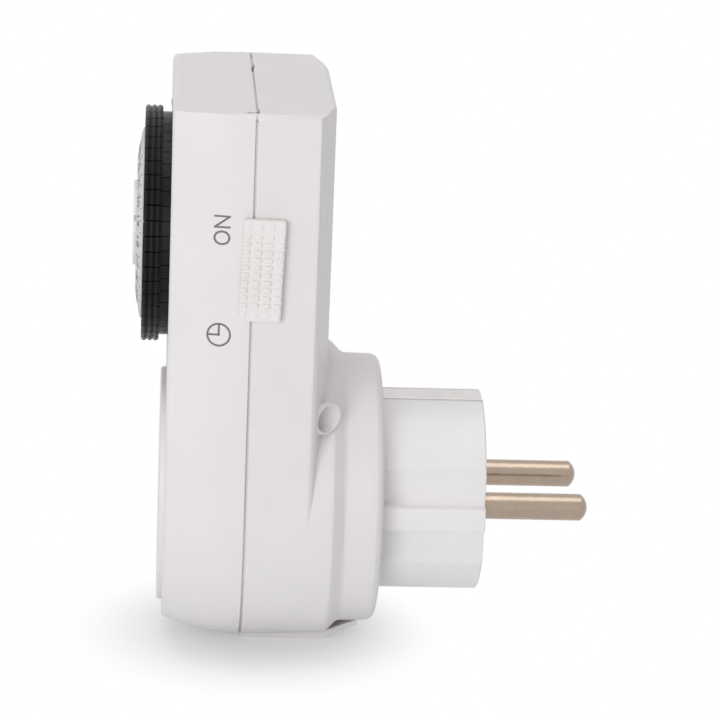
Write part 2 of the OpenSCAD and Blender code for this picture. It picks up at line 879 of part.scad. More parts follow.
// A pin clip: two leaves beside the pin, joined across the top
module clip() {
    g = clip_gap / 2;
    for (x = [pin_x - g - clip_t, pin_x + g])
        block([x, y_clip0, -clip_h / 2], [x + clip_t, y_carrier0, clip_h / 2]);
    block([pin_x - g - clip_t, y_clip0, clip_h / 2 - touch],
          [pin_x + g + clip_t, y_carrier0, clip_h / 2 + clip_t]);
}

module live_clip() color("Peru") at_seam() clip();
module neutral_clip() color("Peru") at_seam() mirror([1, 0, 0]) clip();

// Earth strip: outlet contact in front, plug contact behind, in one piece
module earth_strip() {
    block([-earth_w / 2, strip_front, strip_in], [earth_w / 2, y_plug - strip_end_gap, strip_out]);
    side(-earth_w / 2, earth_w / 2) polygon([
        [strip_front + bend_end, strip_in + touch], [strip_front + bend_top, strip_in - bend_h],
        [strip_front + bend_start, strip_in - bend_h], [strip_front, strip_in + touch]]);
}

module upper_earth_strip() color("Gainsboro") at_seam() earth_strip();
module lower_earth_strip() color("Gainsboro") at_seam() mirror([0, 0, 1]) earth_strip();

// ---- Plug ----

module plug_body() color("WhiteSmoke") at_seam() difference() {
    union() {
        difference() {
            union() {
                turned() plug_profile();
                both_sides() intersection() {
                    disc(plug_r + guide_rise, y_flange + flat_step, y_plug);
                    block([0, y_flange, -guide_w / 2], [half_w, y_plug - flat_step, guide_w / 2]);
                }
            }
            both_sides() for (s = [0, 1]) mirror([0, 0, s]) block(
                [flat_x, y_flange + flat_step, guide_w / 2], [half_w, y_plug + cut, half_w]);
            disc(plug_bore_r, y_carrier1 - cut, y_flange - plug_wall);
            intersection() {
                disc(plug_bore_r, y_carrier1, y_plug_floor);
                block([plug_wall - flat_x, y_carrier1 - cut, -half_w], [flat_x - plug_wall, y_plug_floor, half_w]);
            }
            disc(collar_r - collar_wall, y_carrier1 - cut, y_collar);
        }
        for (s = [0, 1]) mirror([0, 0, s]) intersection() {
            disc(plug_bore_r + touch, y_collar, y_plug_floor + touch);
            block([-groove_rib_w / 2, y_collar, groove_rib_z], [groove_rib_w / 2, y_plug, plug_r]);
        }
    }
    earth_slots(y_carrier1 - cut, y_flange + cut);
    for (s = [0, 1]) mirror([0, 0, s]) block(
        [-groove_w / 2, y_flange, strip_in], [groove_w / 2, y_plug + cut, half_w]);
    both_sides() at([pin_x, 0]) disc(pin_neck_r + hole_clear, y_plug_floor - cut, y_plug + cut);
}

module plug_profile() {
    e = plug_edge_r;
    polygon(concat(
        [[0, y_carrier1], [collar_r, y_carrier1], [collar_r, y_flange_inner], [plug_r, y_flange_inner]],
        [for (i = [0:edge_steps]) let (a = 90 * i / edge_steps)
            [plug_r - e * (1 - cos(a)), y_plug - e * (1 - sin(a))]],
        [[0, y_plug]]));
}

// A contact pin: a low dome on its end outside, a neck in the plug's end, a shoulder and a riveted tail
module contact_pin() at([pin_x, 0]) {
    turned() polygon(concat(
        [[0, y_plug], [pin_r, y_plug]],
        [for (i = [0:pin_nose_steps]) let (a = asin(pin_r / pin_nose_r) * (1 - i / pin_nose_steps))
            [pin_nose_r * sin(a), y_plug + pin_l - pin_nose_r * (1 - cos(a))]]));
    disc(pin_neck_r, y_plug_floor - touch, y_plug + touch);
    disc(pin_shoulder_r, y_shoulder, y_plug_floor);
    disc(pin_tail_r, y_shoulder - bar_t - 0.5, y_shoulder + touch);
}

module live_pin() color("Silver") at_seam() contact_pin();
module neutral_pin() color("Silver") at_seam() mirror([1, 0, 0]) contact_pin();

// A plate on the pin's tail and a run forward, over the clip
module pin_bar(y_end) {
    x0 = pin_x - bar_w / 2;
    x1 = pin_x + bar_w / 2;
    difference() {
        block([x0, y_shoulder - bar_t, -bar_w / 2], [x1, y_shoulder, run_z + bar_t]);
        at([pin_x, 0]) disc(pin_tail_r + hole_clear, y_shoulder - bar_t - cut, y_shoulder + cut);
    }
    block([x0, y_end, run_z], [x1, y_shoulder - touch, run_z + bar_t]);
}

module live_bar() color("Peru") at_seam() {
    x0 = pin_x - bar_w / 2;
    x1 = pin_x + bar_w / 2;
    z_top = blade_z0 + blade_tab_h;
    pin_bar(y_live_up);
    block([x0, y_live_up, run_z], [x1, y_live_up + bar_t, z_top]);
    block([x0, y_blade1, z_top - bar_t], [x1, y_live_up + touch, z_top]);
    block([x0, y_blade1, blade_z0], [x1, y_blade1 + bar_t, z_top]);
}

module neutral_bar() color("Peru") at_seam() mirror([1, 0, 0]) {
    pin_bar(y_live_up);
    block([pin_x - bar_w / 2, y_live_up, clip_h / 2 + clip_t],
          [pin_x + bar_w / 2, y_live_up + bar_t, run_z + touch]);
}

module load_bar() color("Peru") at_seam() {
    block([load_x0, y_clip0, -clip_h / 3], [load_x0 + load_w, y_clip0 + bar_t, contact_z + contact_edge]);
    block([blade_x - blade_w / 2, y_clip0, contact_z - contact_edge],
          [load_x0 + touch, y_clip0 + bar_t, contact_z + contact_edge]);
}

// ---- Contacts and lever ----

module fixed_contact() color("Silver") at_seam()
    at([blade_x, contact_z]) disc(contact_r, y_clip0 - fixed_h, y_clip0);

module moving_contact() color("Silver") at_seam()
    at([blade_x, contact_z]) disc(contact_r, y_blade1, y_blade1 + moving_h);

module contact_blade() color("DarkGoldenrod") at_seam() block(
    [blade_x - blade_w / 2, y_blade0, blade_z0], [blade_x + blade_w / 2, y_blade1, contact_z + contact_edge]);

module switch_lever() color("White") at_seam() {
    x1 = lever_x0 + lever_t;
    difference() {
        union() {
            rod_x(lever_hub_r, lever_x0, x1, lever_y, lever_z);
            block([lever_x0, lever_front, lever_z], [x1, lever_back, lever_top]);
        }
        rod_x(small_r + run_clear, lever_x0 - cut, x1 + cut, lever_y, lever_z);
    }
    block([lever_x0, y_nose, lever_top - nose_h], [lever_x0 + nose_w, lever_front + touch, lever_top]);
    rod_x(pad_r, lever_x0, lever_x0 + pad_l, lever_front - 0.1, pad_z);
    block([lever_x0, lever_back - touch, finger_z - finger_h / 2],
          [x1, y_blade0 - finger_clear, finger_z + finger_h / 2]);
    block([blade_x - blade_w / 4, y_blade0 - finger_clear - finger_t, finger_z - finger_h / 2],
          [x1, y_blade0 - finger_clear, finger_z + finger_h / 2]);
}

module lever_pin() color("Silver") at_seam()
    rod_x(small_r, lever_x0 - ear_gap - ear_t - 0.4, lever_x0 + lever_t + ear_gap + ear_t + 0.4, lever_y, lever_z);

module lever_spring() color("Silver") at_seam() at([lever_spring_x, lever_spring_z])
    coil(lever_spring_r, spring_wire, lever_spring_turns, lever_back + 0.1, back_depth - lever_spring_end);

// ---- Selector ----

module selector_button() color("WhiteSmoke") at_seam() {
    x0 = half_w + button_gap;
    x1 = half_w + button_h;
    y1 = button_y0 + button_w;
    z0 = button_z - button_l / 2;
    z1 = button_z + button_l / 2;
    y_mid = (button_y0 + y1) / 2;
    e = button_edge;
    block([x0, button_y0, z0], [x1 - e, y1, z1]);
    block([x0, button_y0 + e, z0 + e], [x1, y1 - e, z1 - e]);
    block([slider_x0, stem_y0, button_z - stem_l / 2], [x0 + touch, stem_y0 + stem_w, button_z + stem_l / 2]);
    for (i = [0:bump_rows - 1]) for (j = [0:bump_columns - 1])
        translate([x1, y_mid + (j - (bump_columns - 1) / 2) * bump_pitch_y,
                   button_z + (i - (bump_rows - 1) / 2) * bump_pitch_z])
            translate([-touch, -bump_l / 2, -bump_w / 2]) cube([bump_h + touch, bump_l, bump_w]);
}

module selector_slider() color("White") at_seam() {
    difference() {
        block([slider_x0, slider_y0, slider_z0], [slider_x1, slider_y1, slider_z1]);
        block([slider_x0 - cut, stem_y0 - hole_clear, button_z - stem_l / 2 - hole_clear],
              [slider_x1 + cut, stem_y0 + stem_w + hole_clear, button_z + stem_l / 2 + hole_clear]);
    }
    wedge_y = lever_front - 0.1 - pad_r - wedge_clear;
    z0 = pad_z - wedge_low;
    z1 = pad_z + wedge_start;
    z2 = z0 + wedge_l + wedge_start;
    side(wedge_x0, slider_x0 + touch) polygon([
        [wedge_y, z0], [wedge_y, z1], [wedge_y - wedge_slope * (z2 - z1), z2],
        [wedge_y - wedge_t, z2], [wedge_y - wedge_t, z0]]);
}

// ---- Movement ----

module plate_view() {
    tongue_x = plate_posts[3][0] - tongue_side;
    translate([plate_left, plate_low]) square([plate_right - plate_left, plate_high - plate_low]);
    translate([plate_right - 1, top_z - bridge_drop]) square([plate_post_x - plate_right + 1, bridge_h]);
    translate(plate_posts[1]) circle(r = ear_r);
    translate([plate_left, plate_posts[2][1] - ear_r])
        square([2 * ear_r, plate_low - plate_posts[2][1] + ear_r + 1]);
    translate([tongue_x, lever_z - tongue_drop])
        square([lever_x0 + lever_t + ear_gap + ear_t - tongue_x, tongue_h]);
    translate([tongue_x, lever_z]) square([plate_right - tongue_x, plate_low - lever_z + 1]);
    translate(idler_at) circle(r = idler_boss_r);
}

module lever_ear(x) difference() {
    block([x, y_plate1 - touch, lever_z - ear_half_h], [x + ear_t, lever_y + ear_back, lever_z + ear_half_h]);
    rod_x(small_r + hole_clear, x - cut, x + ear_t + cut, lever_y, lever_z);
}

module movement_plate() color("Gainsboro") at_seam() {
    difference() {
        slab(y_plate0, y_plate1) plate_view();
        for (p = plate_posts) at(p) disc(plate_screw_r + 0.2, y_plate0 - cut, y_plate1 + cut);
        at(dial_at) disc(arbor_r + hole_clear, y_plate0 - cut, y_plate1 + cut);
        at(idler_at) disc(small_r + hole_clear, y_plate0 - cut, y_plate1 + cut);
        at(shaft_at) disc(shaft_r + 1, y_plate0 - cut, y_plate1 + cut);
        for (a = motor_ears) at(can_at) rotate([0, -a, 0]) at([motor_ear_x, 0])
            disc(motor_screw_r + hole_clear, y_plate0 - cut, y_plate1 + cut);
    }
    lever_ear(lever_x0 - ear_gap - ear_t);
    lever_ear(lever_x0 + lever_t + ear_gap);
}

module dial_arbor() color("Silver") at_seam() at(dial_at) {
    disc(arbor_r, y_drum0 + 0.6, y_plate1);
    disc(shoulder_r, y_gear1 + 0.2, y_plate0);
}

module dial_carrier() color([0.13, 0.13, 0.14]) at_seam() at(dial_at) {
    difference() {
        union() {
            disc(drum_r, y_drum0, y_drum0 + web_t);
            ring(drum_r, drum_r - drum_wall, y_drum0, y_leg_end);
            ring(rub_ring_r, rub_ring_r - rub_ring_t, y_drum0 + web_t - touch, y_washer);
            disc(dial_hub_r, y_drum0, y_gear1);
        }
        disc(arbor_r + run_clear, y_drum0 - cut, y_gear1 + cut);
    }
    for (k = [0:tappet_count - 1]) rotate([0, -k * tappet_pitch, 0]) block(
        [drum_r - 0.5, y_leg_end - fin_l, -fin_t / 2], [fin_r, y_leg_end, fin_t / 2]);
}

module dial_disc() color("LightGray") at_seam() at(dial_at) turned() polygon([
    [cap_d / 2 + 0.1, y_drum0], [disc_d / 2, y_drum0], [disc_d / 2, y_drum0 - disc_rim_t],
    [cone_r, y_cone], [cap_d / 2 + 0.1, y_cone]]);

module dial_cap() color("White") at_seam() at(dial_at) difference() {
    disc(cap_d / 2, y_cap, y_drum0);
    block([-cap_d, y_cap - cut, cap_slot_z - cap_slot_w / 2],
          [cap_d, y_cap + cap_slot_t, cap_slot_z + cap_slot_w / 2]);
}

module dial_gear() color("Ivory") at_seam() at(dial_at) difference() {
    slab(y_gear0, y_gear1) gear_outline(dial_teeth);
    disc(dial_hub_r + hole_clear, y_gear0 - cut, y_gear1 + cut);
}

module clutch_washer() color("Silver") at_seam() at(dial_at)
    ring(washer_r, dial_hub_r + 0.2, y_washer, y_gear0);

module idler_arbor() color("Silver") at_seam() at(idler_at) disc(small_r, y_gear0 - 0.2, y_plate1);

module idler_gear() color("Ivory") at_seam() at(idler_at) difference() {
    union() {
        slab(y_gear0, y_wheel0 + touch) gear_outline(pinion_teeth, idler_turn);
        slab(y_wheel0, y_wheel1) gear_outline(wheel_teeth, idler_turn);
    }
    disc(small_r + run_clear, y_gear0 - cut, y_wheel1 + cut);
}

module motor_pinion() color("Silver") at_seam() at(shaft_at) {
    slab(y_wheel0 - 0.1, y_wheel1 + 0.1) gear_outline(pinion_teeth, motor_turn);
    disc(shaft_r, y_wheel0 - 0.1, y_plate1 + lid_t + 0.4);
}

module motor_lid() color("Silver") at_seam() difference() {
    union() {
        at(can_at) disc(motor_r, y_plate1, y_plate1 + lid_t);
        for (a = motor_ears) at(can_at) rotate([0, -a, 0]) {
            at([motor_ear_x, 0]) disc(motor_ear_r, y_plate1, y_plate1 + lid_t);
            block([motor_r - lid_lap, y_plate1, -motor_neck], [motor_ear_x, y_plate1 + lid_t, motor_neck]);
        }
    }
    at(shaft_at) disc(shaft_r + run_clear, y_plate1 - cut, y_plate1 + lid_t + cut);
    for (a = motor_ears) at(can_at) rotate([0, -a, 0]) at([motor_ear_x, 0])
        disc(motor_screw_r + hole_clear, y_plate1 - cut, y_plate1 + lid_t + cut);
}

module motor_can() color("DarkGray") at_seam() at(can_at) {
    ring(motor_r, motor_r - can_t, y_plate1 + lid_t, y_plate1 + motor_h);
    disc(motor_r, y_plate1 + motor_h - can_t, y_plate1 + motor_h);
    disc(coil_in_r - coil_gap, y_plate1 + lid_t + 1, y_plate1 + motor_h);
}

module motor_coil() color("FireBrick") at_seam() at(can_at) ring(
    motor_r - can_t - coil_gap, coil_in_r, y_plate1 + lid_t + 0.6, y_plate1 + motor_h - can_t);

// ---- Screws ----

// A pan head at y, behind the part it holds, and a shank of length l in front of it
module screw(r, head_r, head_h, y, l) {
    difference() {
        disc(head_r, y, y + head_h);
        for (a = [0, 90]) rotate([0, a, 0]) block(
            [-head_r * 0.6, y + head_h * 0.4, -head_r * 0.12], [head_r * 0.6, y + head_h + cut, head_r * 0.12]);
    }
    disc(r, y - l, y + touch);
}

function screw_l() = y_tower_seat + screw_bite;

module housing_screws() color("Silver") at_seam() both_sides() at(tower)
    screw(screw_r, screw_head_r, screw_head_h, y_tower_seat, screw_l());

module plate_screws() color("Silver") at_seam() for (p = plate_posts) at(p)
    screw(plate_screw_r, plate_head_r, plate_head_h, y_plate1, plate_screw_l);

module motor_screws() color("Silver") at_seam() for (a = motor_ears)
    at(can_at) rotate([0, -a, 0]) at([motor_ear_x, 0])
        screw(motor_screw_r, motor_head_r, motor_head_h, y_plate1 + lid_t, plate_t + lid_t);

// ---- Tappets ----

// Head and wide leg of a tappet, in radius and Y, with grip ribs round the head
module head_profile() {
    pitch = head_h / rib_count;
    polygon(concat(
        [[tappet_in_r, y_leg + wide_leg_l], [leg_r, y_leg + wide_leg_l], [leg_r, y_leg]],
        [for (i = [0:rib_count - 1]) let (y = y_leg - i * pitch)
            each [[head_r - rib_rise, y], [head_r, y - 0.3 * pitch], [head_r, y - 0.6 * pitch],
                  [head_r - rib_rise, y - 0.9 * pitch]]],
        [[head_r - rib_rise, y_head], [tappet_in_r, y_head]]));
}

// A sector about +X, wide enough for gap on each side at radius r
module sector(r, gap, y0, y1) {
    half = tappet_pitch / 2 - gap / (2 * r) * 180 / PI;
    far = head_r + 2;
    slab(y0, y1) polygon([[0, 0], far * [cos(half), -sin(half)], far * [cos(half), sin(half)]]);
}

module tappet() {
    intersection() {
        turned() head_profile();
        sector(head_r, tappet_gap, y_head - cut, y_leg_end);
    }
    intersection() {
        ring(leg_r, tappet_in_r, y_leg + wide_leg_l - touch, y_leg_end);
        sector(tappet_in_r, fin_t + 2 * leg_side, y_head, y_leg_end + cut);
    }
}

// Four neighbours. The dial turns clockwise past its mark, so the hours run the other way.
module tappet_group(g) color([0.1, 0.1, 0.11]) at_seam() at(dial_at)
    for (k = [0:per_group - 1]) rotate([0, -90 - (g * per_group + k + 0.5) * tappet_pitch, 0]) tappet();

front_shell();
rear_shell();
socket_base();
shutter();
shutter_spring();
contact_frame();
live_clip();
neutral_clip();
upper_earth_strip();
lower_earth_strip();
plug_body();
live_pin();
neutral_pin();
live_bar();
load_bar();
neutral_bar();
fixed_contact();
moving_contact();
contact_blade();
switch_lever();
lever_pin();
lever_spring();
selector_button();
selector_slider();
movement_plate();
dial_arbor();
dial_carrier();
dial_disc();
dial_cap();
dial_gear();
clutch_washer();
idler_arbor();
idler_gear();
motor_pinion();
motor_lid();
motor_can();
motor_coil();
motor_screws();
plate_screws();
housing_screws();
for (g = [0:tappet_groups - 1])
    tappet_group(g);
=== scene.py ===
import math

import bmesh
import bpy
from mathutils import Matrix, Vector


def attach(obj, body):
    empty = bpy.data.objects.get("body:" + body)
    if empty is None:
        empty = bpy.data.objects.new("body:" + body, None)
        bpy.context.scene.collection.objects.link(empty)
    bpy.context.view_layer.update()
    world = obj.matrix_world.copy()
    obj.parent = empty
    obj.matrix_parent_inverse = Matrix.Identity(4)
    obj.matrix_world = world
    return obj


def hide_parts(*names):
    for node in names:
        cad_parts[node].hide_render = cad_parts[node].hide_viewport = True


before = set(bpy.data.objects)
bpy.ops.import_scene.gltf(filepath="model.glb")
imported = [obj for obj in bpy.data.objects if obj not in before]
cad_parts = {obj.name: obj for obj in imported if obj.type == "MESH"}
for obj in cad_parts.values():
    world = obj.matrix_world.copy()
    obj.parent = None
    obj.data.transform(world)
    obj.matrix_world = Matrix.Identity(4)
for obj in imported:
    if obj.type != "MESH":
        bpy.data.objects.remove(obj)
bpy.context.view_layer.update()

# ---------------------------------------------------------------------------
# Camera: a long lens on the timer's right side, a little above it. The dial is on
# the left of the picture and the plug's pins are on the right.
# ---------------------------------------------------------------------------
lens = bpy.data.cameras.new("camera")
lens.lens = 167.82
lens.sensor_width = 36.0
camera = bpy.data.objects.new("camera", lens)
bpy.context.scene.collection.objects.link(camera)
ahead = Vector((-0.95690, 0.06219, -0.28367)).normalized()
above = Vector((-0.28546, -0.02198, 0.95814)).normalized()
aside = ahead.cross(above).normalized()
above = aside.cross(ahead)
eye = (0.57708, -0.05975, 0.19496)
turned = Matrix((aside, above, -ahead)).transposed().to_4x4()
camera.matrix_world = Matrix.Translation(eye) @ turned
bpy.context.scene.camera = camera

# ---------------------------------------------------------------------------
# Plug housing: the round plug body of the mains side, one hollow moulding in
# white thermoplastic. It seats in the rear shell's flange and holds the pins.
# ---------------------------------------------------------------------------
# Pieces are shaped in millimetres with Y = 0 at the seam of the two shells,
# and then carried to their place behind the plug's end face, in metres.
seam_to_plug_face = 42.8
ASSEMBLE = Matrix.Scale(0.001, 4) @ Matrix.Translation((0, -seam_to_plug_face, 0))


def moulding_from(node):
    """A merged copy of a solid, with its flat faces whole, in millimetres."""
    bm = bmesh.new()
    bm.from_mesh(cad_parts[node].data)
    bm.transform(ASSEMBLE.inverted())
    bmesh.ops.remove_doubles(bm, verts=bm.verts[:], dist=0.002)
    bmesh.ops.dissolve_limit(bm, angle_limit=math.radians(0.2), verts=bm.verts[:], edges=bm.edges[:])
    return bm


def off_edge(point, edge):
    """How far a point is from an edge, or endlessly far where it lies in line beyond an end."""
    start, along = edge.verts[0].co, edge.verts[1].co - edge.verts[0].co
    share = min(max((point - start).dot(along) / along.length_squared, 0.0), 1.0)
    gap = point - start - along * share
    in_line = abs(gap.dot(along)) > 0.9 * gap.length * along.length
    return math.inf if in_line else gap.length


def runs_on(edge, vert, corners):
    """True where a corner edge goes on beyond this end in nearly the same direction."""
    onward, most_bend = vert.co - edge.other_vert(vert).co, 0.5
    return any(e is not edge and e in corners
               and onward.angle(e.other_vert(vert).co - vert.co) < most_bend
               for e in vert.link_edges)


def has_room(edge, width, corners):
    """True where a rounding of this width stays clear of the other edges of the edge's faces."""
    one_rounding, two_roundings = 1.1 * width, 2.1 * width
    if edge.calc_length() < two_roundings and not all(runs_on(edge, v, corners) for v in edge.verts):
        return False
    for other in (e for face in edge.link_faces for e in face.edges):
        if not set(edge.verts) & set(other.verts):
            apart = min([off_edge(v.co, other) for v in edge.verts]
                        + [off_edge(v.co, edge) for v in other.verts])
            if apart < (two_roundings if other in corners else one_rounding):
                return False
    return True


def round_edges(bm, edges, width, steps):
    """Rounds edges in a number of steps. One step leaves a chamfer."""
    bmesh.ops.bevel(bm, geom=edges, offset=width, offset_type="OFFSET", affect="EDGES",
                    segments=steps, profile=0.5, material=-1, clamp_overlap=False)


def soften(bm, width, steps=3, above=32):
    """Rounds the outer edges that turn by more than an angle, as a mould does, where there is room."""
    least = math.radians(above)
    corners = {e for e in bm.edges if e.is_manifold and e.is_convex and e.calc_face_angle(0) > least}
    round_edges(bm, [e for e in bm.edges if e in corners and has_room(e, width, corners)], width, steps)


def fit(name, bm, finish, body, slot, *nodes, smooth=32):
    """Makes the shape a piece of the timer: finish, place, moving body and the solids it stands for."""
    bm.transform(ASSEMBLE)
    mesh = bpy.data.meshes.new(name)
    bm.to_mesh(mesh)
    bm.free()
    mesh.shade_smooth()
    mesh.set_sharp_from_angle(angle=math.radians(smooth))
    mesh.materials.append(finish)
    piece = bpy.data.objects.new(name, mesh)
    bpy.context.scene.collection.objects.link(piece)
    piece.modifiers.new("even_shading", "WEIGHTED_NORMAL").keep_sharp = True
    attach(piece, body)
    if nodes:
        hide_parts(*nodes)
    return piece


def new_finish(name, metal=0.0):
    """An empty finish: the material, its node tree, its shader and the point on the piece."""
    finish = bpy.data.materials.new(name)
    finish.use_nodes = True
    tree = finish.node_tree
    shader = tree.nodes["Principled BSDF"]
    shader.inputs["Metallic"].default_value = metal
    where = tree.nodes.new("ShaderNodeTexCoord").outputs["Object"]
    return finish, tree, shader, where


def grain(tree, where, size_mm, detail, stretch=(1, 1, 1)):
    """Cloudy grain whose spots are about size_mm across."""
    turn = tree.nodes.new("ShaderNodeMapping")
    turn.inputs["Scale"].default_value = stretch
    noise = tree.nodes.new("ShaderNodeTexNoise")
    noise.inputs["Scale"].default_value = 1000.0 / size_mm
    noise.inputs["Detail"].default_value = detail
    tree.links.new(where, turn.inputs["Vector"])
    tree.links.new(turn.outputs["Vector"], noise.inputs["Vector"])
    return noise.outputs["Fac"]


def between(tree, value, low, high, start=0.3, end=0.7, how="LINEAR"):
    """Spreads a value from low to high, as it goes from start to end."""
    spread = tree.nodes.new("ShaderNodeMapRange")
    spread.interpolation_type = how
    for socket, number in zip(("From Min", "From Max", "To Min", "To Max"), (start, end, low, high)):
        spread.inputs[socket].default_value = number
    tree.links.new(value, spread.inputs["Value"])
    return spread.outputs["Result"]


def two_tone(tree, value, dark, light):
    """A colour between two, by a grain's value."""
    mix = tree.nodes.new("ShaderNodeMix")
    mix.data_type = "RGBA"
    mix.inputs["A"].default_value = (*dark, 1)
    mix.inputs["B"].default_value = (*light, 1)
    tree.links.new(value, mix.inputs["Factor"])
    return mix.outputs["Result"]


def relief(tree, shader, heights):
    """Bumps from (value, height in millimetres) pairs, one on top of the other."""
    below = None
    for value, height in heights:
        bump = tree.nodes.new("ShaderNodeBump")
        bump.inputs["Strength"].default_value = 1.0
        bump.inputs["Distance"].default_value = height / 1000
        tree.links.new(value, bump.inputs["Height"])
        if below:
            tree.links.new(below, bump.inputs["Normal"])
        below = bump.outputs["Normal"]
    tree.links.new(below, shader.inputs["Normal"])


def moulded(name, colour, rough=0.42, spark_mm=0.22, spark_h=0.0025, shift=0.035, gloss=0.42):
    """Injection-moulded plastic from a finely spark-eroded mould: slow tone drift,
    uneven sheen, the mould's fine grain and the faint swell of cooling walls."""
    finish, tree, shader, where = new_finish(name)
    drift = grain(tree, where, 14, detail=3)
    spark = grain(tree, where, spark_mm, detail=3)
    swell = grain(tree, where, 9, detail=1)
    dark = tuple(c * (1 - shift) for c in colour)
    tree.links.new(two_tone(tree, between(tree, drift, 0, 1), dark, colour), shader.inputs["Base Color"])
    tree.links.new(between(tree, spark, rough - 0.06, rough + 0.07), shader.inputs["Roughness"])
    relief(tree, shader, [(swell, 0.02), (spark, spark_h)])
    shader.inputs["IOR"].default_value = 1.49
    shader.inputs["Specular IOR Level"].default_value = gloss
    return finish


# Painted light: the plug's white is set lighter than the shells' white, so that its side and underside
# show as bright as the shells' sides.
plug_white = moulded("plug_white", (0.85, 0.825, 0.83), rough=0.36, spark_mm=0.16, spark_h=0.0016)
plug_housing = moulding_from("plug_body")
soften(plug_housing, width=0.16)
fit("plug_housing", plug_housing, plug_white, "root", "plug_white", "plug_body")

# ---------------------------------------------------------------------------
# Contact pins: two solid round pins, turned in brass and nickel plated. Each
# has a neck in the plug's end, a shoulder behind it and a riveted tail.
# ---------------------------------------------------------------------------
pin_x, pin_r = 9.5, 2.4
pin_profile = [(0.0, 38.0), (1.5, 38.0), (1.5, 39.3), (2.8, 39.3), (2.8, 40.3), (2.0, 40.3),
               (2.0, 42.8), (pin_r - 0.15, 42.8), (pin_r, 42.95), (pin_r, 60.55)]
pin_tip, pin_dome_r = 61.8, 2.93


def turned_part(profile, at=(0, 0), steps=64):
    """Turns a profile of (radius, Y) about an axis along Y at (X, Z)."""
    bm = bmesh.new()
    points = [bm.verts.new((r, y, 0)) for r, y in profile]
    edges = [bm.edges.new(pair) for pair in zip(points, points[1:])]
    bmesh.ops.spin(bm, geom=points + edges, cent=(0, 0, 0), axis=(0, 1, 0), angle=math.tau,
                   steps=steps, use_merge=True, use_duplicate=False)
    bmesh.ops.remove_doubles(bm, verts=bm.verts[:], dist=0.0005)
    bmesh.ops.recalc_face_normals(bm, faces=bm.faces[:])
    bm.transform(Matrix.Translation((at[0], 0, at[1])))
    return bm


def plated(name, colour, rough, mark_mm=0.15, mark_h=0.0012, drawn=(1, 0.12, 1)):
    """Bright metal with fine drawing marks, along Y if not told, small pits and a slow tint."""
    finish, tree, shader, where = new_finish(name, metal=1.0)
    marks = grain(tree, where, mark_mm, detail=4, stretch=drawn)
    cloud = grain(tree, where, 3.5, detail=3)
    pits = grain(tree, where, 0.35, detail=2)
    dark = tuple(c * 0.90 for c in colour)
    tree.links.new(two_tone(tree, between(tree, cloud, 0, 1), dark, colour), shader.inputs["Base Color"])
    tree.links.new(between(tree, marks, rough - 0.07, rough + 0.12), shader.inputs["Roughness"])
    relief(tree, shader, [(marks, mark_h), (between(tree, pits, 0, 1, 0.68, 0.78), 0.002)])
    return finish


nickel = plated("nickel", (0.41, 0.33, 0.265), rough=0.22, mark_h=0.002)
dome_steps = 12
dome_angles = [math.asin(pin_r / pin_dome_r) * i / dome_steps for i in range(dome_steps - 1, -1, -1)]
dome = [(pin_dome_r * math.sin(a), pin_tip - pin_dome_r * (1 - math.cos(a))) for a in dome_angles]
for name, x in (("live_pin", pin_x), ("neutral_pin", -pin_x)):
    pin = turned_part(pin_profile + dome, (x, 0))
    fit(name + "_turned", pin, nickel, "root", "nickel", name, smooth=30)

# ---------------------------------------------------------------------------
# Earth strips: two sprung strips of nickel-plated brass, above and below. The
# bent front end is the outlet's contact and the rear end lies in the plug's groove.
# ---------------------------------------------------------------------------
earth_plate = plated("earth_plate", (0.69, 0.655, 0.65), rough=0.42, mark_mm=0.12, mark_h=0.0008)
for name in ("upper_earth_strip", "lower_earth_strip"):
    strip = moulding_from(name)
    soften(strip, width=0.1)
    fit(name + "_sprung", strip, earth_plate, "root", "earth_nickel", name)

# ---------------------------------------------------------------------------
# Contact frame, clips and current bars: a grey insulating disc holds the pin
# clips, which are folded with their bars from half-hard copper strip.
# ---------------------------------------------------------------------------
def refinish(finish, slot, *nodes):
    """Gives solids that stay as they are their finish."""
    for node in nodes:
        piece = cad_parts[node]
        piece.data.materials.clear()
        piece.data.materials.append(finish)


frame_grey = moulded("frame_grey", (0.105, 0.108, 0.115), rough=0.5, spark_mm=0.3, spark_h=0.004,
                     shift=0.15)
refinish(frame_grey, "frame_grey", "contact_frame")
copper = plated("copper", (0.76, 0.40, 0.26), rough=0.3)
refinish(copper, "copper_strip", "live_clip", "neutral_clip", "live_bar", "load_bar", "neutral_bar",
         "contact_blade")
contact_silver = plated("contact_silver", (0.84, 0.83, 0.80), rough=0.24, mark_mm=0.18,
                        drawn=(1, 1, 1))
refinish(contact_silver, "contact_silver", "fixed_contact", "moving_contact")

# ---------------------------------------------------------------------------
# Rear shell: the back half of the housing, one moulding in white thermoplastic
# with the round flange, the neck and the foot. Two screws draw it to the front.
# ---------------------------------------------------------------------------
shell_white = moulded("shell_white", (0.805, 0.772, 0.77))
shell_edge_r, shell_edge_steps, shell_smooth = 0.18, 4, 12
rear = moulding_from("rear_shell")
soften(rear, shell_edge_r, shell_edge_steps)
rear_housing = fit("rear_housing", rear, shell_white, "root", "shell_white", "rear_shell",
                   smooth=shell_smooth)
# The crease where the rounded back corners run out into the neck stays crisp to its end. There a
# side that hardly faces the back meets one that does.
crease_y0, crease_y1, side_tilt = 10.9, 12.3, 0.05
rear = bmesh.new()
rear.from_mesh(rear_housing.data)
for edge in rear.edges:
    if edge.is_manifold and all(crease_y0 < v.co.y * 1000 + seam_to_plug_face < crease_y1
                                for v in edge.verts):
        across = sorted(face.normal.y for face in edge.link_faces)
        if across[0] < side_tilt < across[1] - 0.02:
            edge.smooth = False
rear.to_mesh(rear_housing.data)
rear.free()

